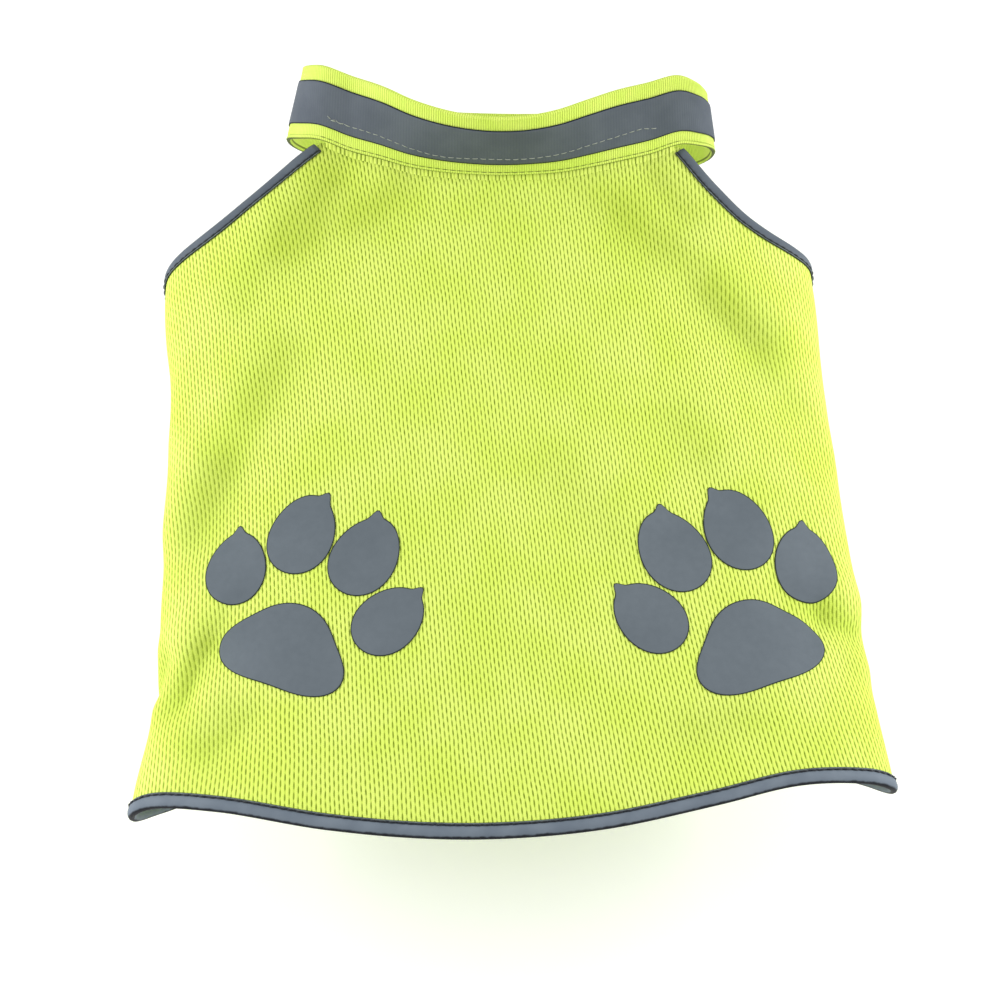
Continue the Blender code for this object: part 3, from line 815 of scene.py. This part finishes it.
def mesh_look():
    """Bird's-eye knit: upright ribs, dark furrows between them and a long hole in every other row."""
    look = Look("birdseye_mesh", 0.88, 0.12, sheen=0.16)
    look.shader.inputs["Sheen Tint"].default_value = (0.90, 1.0, 0.20, 1.0)
    drift = look.add(look.noise(0.07, 2.0), -0.5)
    u = look.add(look.u, look.times(drift, 0.8))
    v = look.add(look.v, look.times(drift, 2.4))
    hole = look.math("MAXIMUM", knit_holes(look, u, v, 0.0), knit_holes(look, u, v, 0.5))
    furrow = look.wave(u, KNIT_ACROSS / 2)
    narrow = look.step(furrow, 0.62, 1.0)
    loops = look.wave(look.add(v, look.times(furrow, 0.3)), LOOP_PITCH)
    fuzz = look.noise(2.6, 3.0)
    depth = look.times(hole, look.step(look.noise(0.30, 2.0), 0.25, 0.75, 0.70, 1.0))
    cloth = look.mix(look.clouds(0.045), linear(228, 250, 110), linear(238, 255, 130))
    cloth = look.mix(look.times(loops, 0.16), cloth, linear(206, 234, 70))
    cloth = look.mix(look.times(narrow, 0.46), cloth, linear(158, 186, 10))
    cloth = look.mix(look.times(fuzz, 0.14), cloth, linear(204, 230, 70))
    # Painted shade: the fold slopes are darkened by a point attribute of the panel.
    painted_crease_shade = look.node("ShaderNodeAttribute", attribute_name="painted_crease_shade").outputs["Fac"]
    cloth = look.mix(look.times(painted_crease_shade, 0.34), cloth, linear(150, 176, 20))
    # Painted light: the holes are painted fainter towards the flanks, which lightens them.
    flank = look.step(look.math("ABSOLUTE", look.u), 66.0, 110.0, 0.88, 0.56)
    look.colour(look.mix(look.times(depth, flank), cloth, linear(104, 130, 0)))
    height = look.add(look.times(hole, -0.9), look.times(furrow, -0.45))
    height = look.add(height, look.times(loops, 0.16))
    look.bump(look.add(height, look.times(fuzz, 0.12)), 0.35, 0.8)
    return look.material


def webbing_look():
    look = Look("ribbed_webbing", 0.82, sheen=0.08)
    rib = look.wave(look.add(look.u, look.times(look.noise(0.8, 1.0), 0.15)), 0.80)
    cross = look.wave(look.v, 0.55)
    fuzz = look.noise(3.0, 3.0)
    cloth = look.mix(look.clouds(0.10), linear(226, 252, 104), linear(236, 255, 120))
    cloth = look.mix(look.times(rib, 0.55), cloth, linear(160, 188, 36))
    cloth = look.mix(look.times(look.times(cross, fuzz), 0.2), cloth, linear(240, 255, 140))
    # Painted shade: a dark line painted along the sunk seam's groove.
    seam = look.step(look.away(look.v, SEAM_GROOVE), 0.08, 0.30, 1.0, 0.0)
    cloth = look.mix(look.times(seam, 0.85), cloth, linear(84, 98, 8))
    # Painted shade: the lower edge is darkened where the webbing meets the mesh.
    look.colour(look.mix(look.step(look.v, 0.05, 0.50), linear(74, 88, 6), cloth))
    height = look.add(look.times(rib, -0.6), look.times(cross, 0.15))
    look.bump(look.add(height, look.times(fuzz, 0.15)), 0.30, 0.9)
    return look.material


def stripe_look():
    """Grey retroreflective tape with a thin dark line along both edges."""
    look = Look("reflective_tape", 0.75, 0.15)
    beads = look.noise(5.0, 2.0)
    rib = look.wave(look.u, 0.98)
    grey = look.mix(look.clouds(0.08), linear(92, 99, 108), linear(102, 109, 118))
    grey = look.mix(look.times(beads, 0.30), grey, linear(62, 69, 78))
    grey = look.mix(look.times(rib, 0.10), grey, linear(52, 59, 68))
    for edge in (STRIPE_FROM, STRIPE_TO):
        line = look.step(look.away(look.v, edge), 0.6 * EDGE_LINE, EDGE_LINE, 0.95, 0.0)
        grey = look.mix(line, grey, linear(20, 28, 38))
    look.colour(grey)
    look.bump(look.add(look.times(beads, 0.35), look.times(rib, -0.35)), 0.10, 0.6)
    return look.material


def binding_look(name, shade):
    """Folded tape with painted shade at its turn, in its seam's groove and along its cut edge on the mesh,
    and a pale lip beside the seam.
    """
    look = Look(name, 0.62, 0.25)
    beads = look.noise(5.0, 2.0)
    wobble = look.times(look.add(look.noise(0.5, 2.0), -0.5), 0.5)
    depth = look.add(look.v, wobble)
    tones = [linear(*(value * shade for value in tone)) for tone in ((108, 119, 131), (122, 133, 144))]
    grey = look.mix(look.clouds(0.10), *tones)
    grey = look.mix(look.times(beads, 0.30), grey, linear(78, 88, 98))
    lip = look.step(depth, BINDING_SEAM + 0.10, BINDING_SEAM + 0.35)
    grey = look.mix(look.times(lip, 0.45), grey, linear(146, 160, 150))
    # Painted shade in the seam's groove, under the stitches.
    groove = look.step(look.away(depth, BINDING_SEAM), 0.22, 0.55, 1.0, 0.0)
    grey = look.mix(look.times(groove, 0.92), grey, linear(12, 18, 30))
    # Painted shade along the tape's edge where it lies on the mesh.
    brim = look.step(look.v, 3.45, 3.75)
    grey = look.mix(look.times(brim, 0.95), grey, linear(30, 40, 30))
    # Painted shade where the tape turns round the cloth's edge.
    fold = look.step(depth, -0.50, -0.95)
    look.colour(look.mix(fold, grey, linear(14, 18, 26)))
    look.bump(look.add(look.times(beads, 0.3), look.times(groove, -1.2)), 0.15, 0.7)
    return look.material


def film_look():
    """Reflective film pressed on the knit: grey, dark at its cut edge, and faintly uneven."""
    look = Look("reflective_film", 0.78, 0.2)
    beads = look.noise(420.0, 2.0, vector=look.room())
    grey = look.mix(look.clouds(30.0, look.room()), linear(102, 111, 118), linear(110, 119, 126))
    grey = look.mix(look.times(beads, 0.30), grey, linear(76, 85, 92))
    outline = look.step(look.v, 0.16, 0.46, 1.0, 0.0)
    look.colour(look.mix(outline, grey, linear(36, 46, 40)))
    weave = look.noise(900.0, 1.0, vector=look.room())
    look.bump(look.add(look.times(beads, 0.4), look.times(weave, 0.4)), 0.12, 0.6)
    return look.material


def fastening_look(name, grain, rows_shown, rows_raised):
    look = Look(name, 0.9, sheen=0.35)
    fine = look.noise(grain, 4.0, 0.7)
    rows = look.times(look.wave(look.u, 1.3), look.wave(look.v, 1.3))
    base = look.mix(fine, linear(150, 178, 44), linear(208, 236, 92))
    look.colour(look.mix(look.times(rows, rows_shown), base, linear(232, 246, 150)))
    look.bump(look.add(look.times(rows, rows_raised), fine), 0.45, 0.9)
    return look.material


def thread_look(name, tint, shade):
    look = Look(name, 0.6, sheen=0.2)
    twist = look.wave(look.add(look.u, look.times(look.v, 0.12)), 0.42)
    look.colour(look.mix(twist, linear(*tint), linear(*shade)))
    look.bump(twist, 0.06, 0.7)
    return look.material


LOOKS = {
    "mesh": mesh_look(),
    "webbing": webbing_look(),
    "stripe": stripe_look(),
    "hem_tape": binding_look("hem_tape", 1.0),
    # The front tape is the hem's tape made darker by 0.84: painted shade.
    "front_tape": binding_look("front_tape", 0.84),
    "film": film_look(),
    "loops": fastening_look("fastening_loops", 4.5, 0.15, 0.2),
    "hooks": fastening_look("fastening_hooks", 2.2, 0.5, 1.0),
    "dark_thread": thread_look("dark_thread", (30, 38, 50), (12, 18, 28)),
    "light_thread": thread_look("light_thread", (176, 182, 166), (140, 147, 138)),
    "lime_thread": thread_look("lime_thread", (206, 234, 84), (164, 192, 48)),
    # Dark olive thread: the real stitches painted dark as shade in the webbing's sunk seam.
    "seam_shade_thread": thread_look("seam_shade_thread", (112, 130, 20), (70, 84, 8)),
}


# ---------------- panel
def build_panel():
    """The one cut of mesh, and its neck allowance, turned up behind the webbing."""
    front = edge_at(SHARES, front_station)
    hem = edge_at(SHARES, hem_station)
    rows = np.linspace(0.0, 1.0, PANEL_ROWS)[:, None]
    stations = hem + rows * (front - hem)
    shares = np.broadcast_to(SHARES, stations.shape)
    parts = [cloth_geometry(on_body(stations, shares), PANEL_WALL, mesh_places(stations, shares))]

    girths = np.linspace(-NECK_HALF + 1.5, NECK_HALF - 1.5, 61)
    inside = -(BAND_WALL / 2 + ALLOWANCE_GAP + ALLOWANCE_WALL / 2)
    turned_up = on_band(run_over_neckline(girths), np.array(ALLOWANCE_WIDTHS)[:, None], inside)
    station = edge_at(girths / half_girth(118.0, girths), front_station)
    share = share_of(station, girths)
    for back in (1.5, 4.0):
        turned_up = np.concatenate([on_body(station - back, share)[None], turned_up])
    places = mesh_places(station + np.arange(len(turned_up))[:, None], share)
    parts.append(cloth_geometry(turned_up, ALLOWANCE_WALL, places))
    # Painted shade for the fold slopes, alike on both faces of the cloth, none on the allowance.
    slopes = fold_reach(stations, shares * half_girth(stations, shares))[1].ravel()
    painted_crease_shade = np.concatenate([slopes, slopes, np.zeros(len(parts[1][0]))])
    return make_piece("panel_cloth", parts, "mesh", "body_panel", painted_crease_shade)


# ---------------- bindings
def edge_frame(shares, edge, inward_sign):
    """An edge's places, and the way in from it along the cloth."""
    station = edge_at(shares, edge)
    girth = shares * half_girth(station, shares)
    along = unit(np.stack([np.gradient(girth), np.gradient(station)], axis=-1))
    inward = np.stack([-along[:, 1], along[:, 0]], axis=-1) * inward_sign
    return station, girth, inward


def binding_points(border, depth, lift):
    """Points of a folded tape, at a depth in from a border of the cloth or out past it."""
    station, girth, inward = border
    inside = max(depth, 0.0) * BINDING_NARROWED
    at_station = station + inward[:, 1] * inside
    at_share = share_of(at_station, girth + inward[:, 0] * inside)
    point = on_body(at_station, at_share, lift)
    if depth < 0:
        next_station = station + inward[:, 1] * 2.0
        next_girth = girth + inward[:, 0] * 2.0
        way = point - on_body(next_station, share_of(next_station, next_girth), lift)
        point = point - unit(way) * depth
    return point, shell_normal(at_station, at_share)


def build_binding(name, look, shares, edge, inward_sign):
    """One folded tape. Returns the stitches that close it, on its outer and its inner face."""
    border = edge_frame(shares, edge, inward_sign)
    gone = running(np.hypot(np.diff(border[1]), np.diff(border[0])))
    rows = []
    places = []
    for depth, height in BINDING_SECTION:
        pucker = PUCKER * math.exp(-(((depth - 3.2) / 0.8) ** 2))
        lift = height + np.sign(height) * pucker * np.cos(gone * 2 * math.pi / STITCH_PITCH)
        rows.append(binding_points(border, depth, lift)[0])
        places.append(np.stack([gone, np.full(len(gone), depth)], axis=-1))
    part = cloth_geometry(np.array(rows), BINDING_CLOTH, np.array(places))
    make_piece(name + "_cloth", [part], look, name)
    seams = []
    for side in (1.0, -1.0):
        height = side * (BINDING_HALF[0][1] + BINDING_CLOTH / 2 + THREAD_LIFT)
        line, out = binding_points(border, BINDING_SEAM, height)
        seams.append(stitch_geometry(line, out * side, STITCH_PITCH, 2.35, 0.30, 0.16))
    return seams


def build_bindings():
    left = np.arange(-PANEL_END, LEFT_CORNER - CORNER_GAP, BINDING_STEP)
    right = np.arange(RIGHT_CORNER + CORNER_GAP, BINDING_STOP, BINDING_STEP)
    whole = np.arange(-PANEL_END, BINDING_STOP, BINDING_STEP)
    seams = build_binding("front_binding_left", "front_tape", left, front_station, -1)
    seams += build_binding("front_binding_right", "front_tape", right, front_station, -1)
    seams += build_binding("hem_binding", "hem_tape", whole, hem_station, 1)
    make_piece("binding_stitches", seams, "dark_thread")


# ---------------- paws
def pad_outline(kind, toe, turns):
    """Outline of one pad in shares of the paw's size, as a closed curve round its middle."""
    x = np.sin(turns)
    y = np.cos(turns)
    if kind == "pad":
        lobes = 1.0 + 0.11 * np.cos(3 * turns) - 0.03 * np.cos(2 * turns)
        width = PAD_HALF_WIDTH * (1.0 - 0.06 * y)
        return x * lobes * width, y * lobes * PAD_HALF_LENGTH - PAD_DOWN
    narrow = toe["half_width"] * (1.0 - 0.10 * y)
    tip = 1.0 + 0.20 * np.exp(-(((turns - math.radians(toe["claw"])) / 0.16) ** 2))
    local_x = x * narrow * tip
    local_y = y * toe["half_length"] * tip
    turn = math.radians(toe["turn"])
    rolled_x = local_x * math.cos(turn) - local_y * math.sin(turn)
    rolled_y = local_x * math.sin(turn) + local_y * math.cos(turn)
    return rolled_x + toe["across"], rolled_y + toe["along"]


PAD_POINTS = 88
PAD_RINGS = 13


def build_pad(name, kind, toe, paw):
    """One pad of film: rings of points from its middle to its outline, laid over the panel."""
    turns = np.linspace(-math.pi, math.pi, PAD_POINTS + 1)[:-1]
    x, y = pad_outline(kind, toe, turns)
    middle_x, middle_y = x.mean(), y.mean()
    tilt = math.radians(paw["tilt"])
    spreads = 1.0 - (1.0 - np.linspace(0.0, 1.0, PAD_RINGS + 1)[1:]) ** 1.25
    radius = np.hypot(x - middle_x, y - middle_y) * paw["size"]
    levels = []
    for side in (1.0, -1.0):
        for spread in np.concatenate([[0.0], spreads]):
            ring_x = middle_x + (x - middle_x) * spread
            ring_y = middle_y + (y - middle_y) * spread
            across = (ring_x * math.cos(tilt) + ring_y * math.sin(tilt)) * paw["size"]
            along = (ring_y * math.cos(tilt) - ring_x * math.sin(tilt)) * paw["size"]
            station = paw["station"] + along
            share = share_of(station, paw["girth"] + across)
            thin = FILM_EDGE if spread == 1.0 else 1.0
            lift = PANEL_WALL / 2 + PRESSED_GAP + FILM_WALL / 2 + side * thin * FILM_WALL / 2
            placed = on_body(station, share, lift)
            inside = np.stack([radius * spread, radius * (1.0 - spread)], axis=-1)
            levels.append((placed[:1], inside[:1]) if spread == 0.0 else (placed, inside))
    points = np.concatenate([level[0] for level in levels])
    places = np.concatenate([level[1] for level in levels])
    half = 1 + PAD_RINGS * PAD_POINTS
    faces = []
    for k in range(PAD_POINTS):
        follow = (k + 1) % PAD_POINTS
        faces.append((0, 1 + follow, 1 + k))
        faces.append((half, half + 1 + k, half + 1 + follow))
        for ring in range(PAD_RINGS - 1):
            inner = 1 + ring * PAD_POINTS
            outer = inner + PAD_POINTS
            faces.append((inner + k, inner + follow, outer + follow, outer + k))
            faces.append((half + inner + follow, half + inner + k, half + outer + k, half + outer + follow))
        rim = 1 + (PAD_RINGS - 1) * PAD_POINTS
        faces.append((rim + k, rim + follow, half + rim + follow, half + rim + k))
    make_piece(name + "_film", [(points, faces, places)], "film", name)


def build_paws():
    for row in PAWS:
        paw = dict(zip(PAW_COLUMNS, row))
        stem = "paw_" + paw["name"]
        build_pad(stem + "_pad", "pad", None, paw)
        for toe_row in TOES:
            toe = dict(zip(TOE_COLUMNS, toe_row))
            build_pad(stem + "_" + toe["name"], "toe", toe, paw)


# ---------------- neck band
def band_piece(name, runs, widths, lifts, wall, look, slot, node):
    spread_widths, spread_runs = np.meshgrid(widths, runs, indexing="ij")
    grid = on_band(spread_runs, spread_widths, np.broadcast_to(lifts, spread_runs.shape))
    places = np.stack([spread_runs, spread_widths], axis=-1)
    return make_piece(name, [cloth_geometry(grid, wall, places)], look, node)


def build_neck():
    """Webbing with its sunk seam and beaded edges, its stripe, and the fastening in its lap."""
    runs = np.arange(-NECK_LAP / 2, NECK_ROUND + NECK_LAP / 2 + 0.5, 1.0)
    widths = np.array(BAND_WIDTHS)
    groove = -0.26 * np.exp(-(((widths - SEAM_GROOVE) / 0.4) ** 2))
    bead = 0.10 * np.exp(-((widths / 0.7) ** 2)) + 0.10 * np.exp(-(((BAND_WIDTH - widths) / 0.7) ** 2))
    lifts = (groove + bead)[:, None]
    band = band_piece("neck_webbing", runs, widths, lifts, BAND_WALL, "webbing", "webbing", "neck_band")

    over = BAND_WALL / 2 + PRESSED_GAP + STRIPE_CLOTH / 2
    taped = runs[runs < NECK_ROUND - NECK_LAP / 2 - LAP_CLEAR]
    widths = np.linspace(STRIPE_FROM, STRIPE_TO, 16)
    stripe = ("stripe", "reflective_tape", "neck_stripe")
    band_piece("neck_stripe_tape", taped, widths, over, STRIPE_CLOTH, *stripe)

    inner = NECK_LAP / 2 - LAP_MARGIN
    spots = np.arange(-inner, inner + 0.5, 1.0)
    widths = np.linspace(TAPE_INSET, BAND_WIDTH - TAPE_INSET, 16)
    over = BAND_WALL / 2 + GAP + TAPE_WALL / 2
    for kind, start, lift in (("loop", NECK_ROUND, over), ("hook", 0.0, -over)):
        tape = (kind + "s", "fastening_tape", "neck_" + kind + "_tape")
        band_piece("neck_" + kind + "s", start + spots, widths, lift, TAPE_WALL, *tape)
    return band


def build_neck_seams():
    top = BAND_WALL / 2 + PRESSED_GAP + STRIPE_CLOTH
    runs = np.linspace(LIGHT_SEAM[0][0], LIGHT_SEAM[-1][0], 240)
    widths = through(runs, *zip(*LIGHT_SEAM))
    rows = [seam_on_band(runs, widths, top, pitch=2.7, length=2.0, radius=0.15, wander=0.08)]
    number = np.arange(len(BACKTACK))
    runs, widths = (np.interp(np.linspace(0, number[-1], 60), number, line) for line in zip(*BACKTACK))
    rows.append(seam_on_band(runs, widths, top, pitch=1.6, length=1.6, radius=0.15))
    make_piece("neck_seam_stitches", rows, "light_thread")

    over_mesh = np.linspace(*run_over_neckline(np.array([-NECK_HALF, NECK_HALF])), 200)
    sunk = seam_on_band(over_mesh, SEAM_GROOVE, BAND_WALL / 2 - 0.22, pitch=2.6, length=2.2, radius=0.13)
    # Real stitches, their thread painted dark olive as painted shade in the groove.
    make_piece("neckline_stitches", [sunk], "seam_shade_thread")

    inside = -(BAND_WALL / 2 + ALLOWANCE_GAP + ALLOWANCE_WALL)
    rows = [seam_on_band(over_mesh, 4.6, inside, pitch=2.6, length=2.2, radius=0.2)]
    reach = NECK_LAP / 2 - LAP_CLEAR
    for width in (3.0, BAND_WIDTH - 3.0):
        for middle, lift in ((0.0, BAND_WALL / 2), (NECK_ROUND, -BAND_WALL / 2)):
            across = np.linspace(middle - reach, middle + reach, 40)
            rows.append(seam_on_band(across, width, lift, **FASTENING_STITCH))
    make_piece("neck_edge_stitches", rows, "lime_thread")


# ---------------- belly fastening
def build_belly():
    """Loop tape on the right end's outer face, hook tape on the left end's inner one, and their seams."""
    step = PANEL_WALL / 2 + GAP + TAPE_WALL / 2
    reach = BELLY_LAP / 2 - BELLY_TAPE_INSET
    rows = []
    for kind, side, lift in (("loop", 1.0, step), ("hook", -1.0, -step)):
        offsets = np.linspace(-reach, reach, 24) / float(half_girth(0.0, side))
        stations = np.linspace(*BELLY_TAPE_ENDS, 64)
        stations, shares = np.meshgrid(stations, side + offsets, indexing="ij")
        places = np.stack([shares * half_girth(stations, shares), stations], axis=-1)
        part = cloth_geometry(on_body(stations, shares, lift), TAPE_WALL, places)
        node = "belly_" + kind + "_tape"
        make_piece("belly_" + kind + "s", [part], kind + "s", node)
        face = -math.copysign(PANEL_WALL / 2 + THREAD_LIFT, lift)
        # The long seam lies twice in one place, and the tape's other long side has none.
        lines = [(stations[:, -3], shares[:, -3])] * 2
        lines += [(stations[k], shares[k]) for k in (3, -4)]
        rows += [seam_on_body(*line, face, **FASTENING_STITCH) for line in lines]
    make_piece("belly_stitches", rows, "lime_thread")


# ---------------- stage
# In metres and watts: two low lamps close to the sides, so that the folds show.
SOFTBOXES = (("left_softbox", (-0.55, 0.0, 0.22)), ("right_softbox", (0.55, 0.06, 0.22)))
SOFTBOX_SIZE = 0.3
SOFTBOX_POWER = 2.1


def build_stage():
    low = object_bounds()[0]
    mesh = bpy.data.meshes.new("floor")
    reach = 6.0
    corners = [(-reach, -reach, 0.0), (reach, -reach, 0.0), (reach, reach, 0.0), (-reach, reach, 0.0)]
    mesh.from_pydata(corners, [], [(0, 1, 2, 3)])
    floor = in_scene("floor", mesh)
    floor.location = (0.0, 0.0, low[2] - 0.0005)
    look = bpy.data.materials.new("floor")
    look.use_nodes = True
    shader = look.node_tree.nodes["Principled BSDF"]
    shader.inputs["Base Color"].default_value = (0.80, 0.80, 0.80, 1.0)
    shader.inputs["Emission Color"].default_value = (1.0, 1.0, 1.0, 1.0)
    shader.inputs["Emission Strength"].default_value = 0.36
    shader.inputs["Roughness"].default_value = 0.95
    shader.inputs["Specular IOR Level"].default_value = 0.1
    mesh.materials.append(look)

    world = bpy.data.worlds.new("studio")
    world.use_nodes = True
    light = world.node_tree.nodes["Background"].inputs
    light["Color"].default_value = (1.0, 1.0, 1.0, 1.0)
    light["Strength"].default_value = 0.70
    bpy.context.scene.world = world

    for name, place in SOFTBOXES:
        data = bpy.data.lights.new(name, "AREA")
        data.size = SOFTBOX_SIZE
        data.energy = SOFTBOX_POWER
        lamp = in_scene(name, data)
        lamp.location = place
        lamp.rotation_mode = "QUATERNION"
        lamp.rotation_quaternion = Vector([-value for value in place]).to_track_quat("-Z", "Y")
    bpy.context.scene.view_settings.view_transform = "Standard"


def build_camera():
    data = bpy.data.cameras.new("camera")
    data.sensor_width = 36.0
    data.lens = FOCAL_SHARE * data.sensor_width
    camera = in_scene("camera", data)
    tilt = math.radians(CAMERA_ELEVATION)
    x, y, z = CAMERA_TARGET
    camera.location = (
        x * MM,
        (y - CAMERA_DISTANCE * math.cos(tilt)) * MM,
        (z + CAMERA_DISTANCE * math.sin(tilt)) * MM,
    )
    camera.rotation_euler = (math.pi / 2 - tilt, 0.0, 0.0)
    bpy.context.scene.camera = camera


# ---------------- assembly
build_camera()
panel = build_panel()
build_bindings()
build_paws()
band = build_neck()
build_neck_seams()
build_belly()
build_stage()
